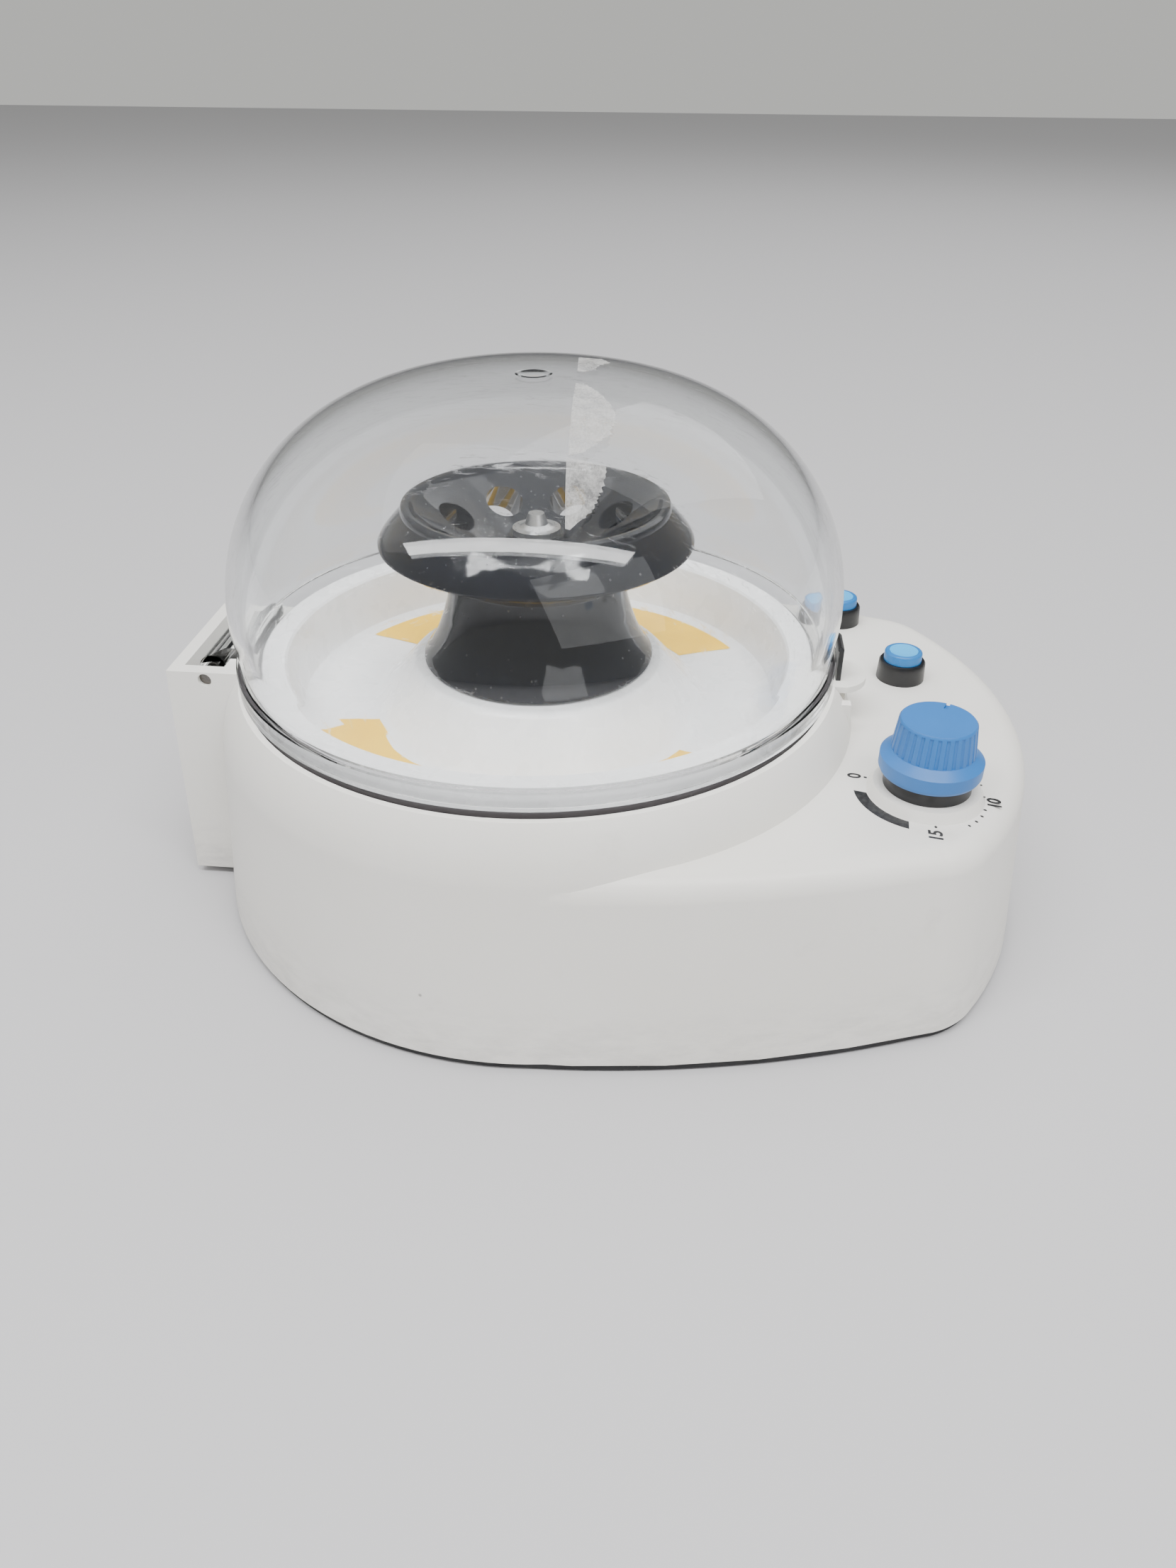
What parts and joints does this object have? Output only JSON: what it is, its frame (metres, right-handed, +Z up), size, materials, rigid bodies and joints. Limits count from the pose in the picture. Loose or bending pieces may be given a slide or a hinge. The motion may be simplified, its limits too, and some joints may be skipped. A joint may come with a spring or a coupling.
{
  "type": "laboratory centrifuge",
  "caption": "Small bench centrifuge with a round housing, a clear hinged dome lid, a fixed-angle rotor in a bowl, a timer knob and push buttons.",
  "frame": {"origin": "on the bench under the middle of the box around the machine", "axes": "+Z up; the front with the controls faces -Y; the lid hinges at +Y"},
  "size_m": [0.196, 0.255, 0.153],
  "materials": {
    "cream_plastic": "fine moulded texture",
    "plate_black": "matt",
    "rubber": "matt",
    "steel": "satin",
    "bowl_white": "semi-gloss",
    "clear_dome": "clear, polished",
    "black_plastic": "satin",
    "rotor_black": "polished",
    "copper": "satin",
    "magnet": "matt",
    "knob_blue": "fine satin",
    "cap_blue": "semi-gloss",
    "board_green": "satin",
    "brass": "satin",
    "wire_red": "satin",
    "wire_black": "satin"
  },
  "bodies": {
    "base": {"upper_housing": "cream_plastic", "base_plate": "plate_black", "rubber_feet": "rubber", "housing_screws": "steel", "rotor_bowl": "bowl_white", "rim_gasket": "rubber", "hinge_pin": "steel", "latch_pin": "steel", "latch_spring": "steel", "lid_switch": "black_plastic", "motor_can": "steel", "motor_magnets": "magnet", "motor_end_cap": "black_plastic", "motor_bearings": "steel", "motor_plate": "steel", "motor_dampers": "rubber", "motor_screws": "steel", "timer_disc": "black_plastic", "timer_body": "steel", "timer_nut": "steel", "inner_button_bezel": "black_plastic", "inner_button_body": "black_plastic", "inner_button_nut": "steel", "inner_button_spring": "steel", "outer_button_bezel": "black_plastic", "outer_button_body": "black_plastic", "outer_button_nut": "steel", "outer_button_spring": "steel", "control_board": "board_green", "board_parts": "black_plastic", "board_standoffs": "brass", "board_screws": "steel", "power_inlet": "black_plastic", "motor_wires": "wire_red", "inlet_wires": "wire_black"},
    "lid": {"dome_lid": "clear_dome"},
    "rotor": {"rotor": "rotor_black", "rotor_nut": "rotor_black", "motor_shaft": "steel", "motor_armature": "copper"},
    "timer": {"timer_knob": "knob_blue", "timer_shaft": "steel"},
    "inner_button": {"inner_button_cap": "cap_blue"},
    "outer_button": {"outer_button_cap": "cap_blue"},
    "latch": {"latch_tab": "cream_plastic", "latch_hook": "black_plastic"}
  },
  "joints": [
    {"name": "lid_hinge", "type": "hinge", "parent": "base", "child": "lid", "pos_m": [0, 0.1135, 0.07], "axis": [-1, 0, 0], "range_deg": [0, 95]},
    {"name": "rotor_spin", "type": "hinge", "parent": "base", "child": "rotor", "pos_m": [0, 0.0195, 0.09], "axis": [0, 0, 1], "continuous": true},
    {"name": "timer_turn", "type": "hinge", "parent": "base", "child": "timer", "pos_m": [-0.0425, -0.0895, 0.07], "axis": [0, 0, 1], "range_deg": [-154.6, 89]},
    {"name": "inner_button_press", "type": "slide", "parent": "base", "child": "inner_button", "axis": [0, 0, -1], "range_m": [0, 0.0025], "stiffness_N_per_m": 400, "springref_m": -0.001, "deforming": ["inner_button_spring"]},
    {"name": "outer_button_press", "type": "slide", "parent": "base", "child": "outer_button", "axis": [0, 0, -1], "range_m": [0, 0.0025], "stiffness_N_per_m": 400, "springref_m": -0.001, "deforming": ["outer_button_spring"]},
    {"name": "latch_press", "type": "hinge", "parent": "base", "child": "latch", "pos_m": [0, -0.0635, 0.0605], "axis": [1, 0, 0], "range_deg": [0, 5], "stiffness_Nm_per_rad": 0.3, "springref_deg": -5.73}
  ]
}
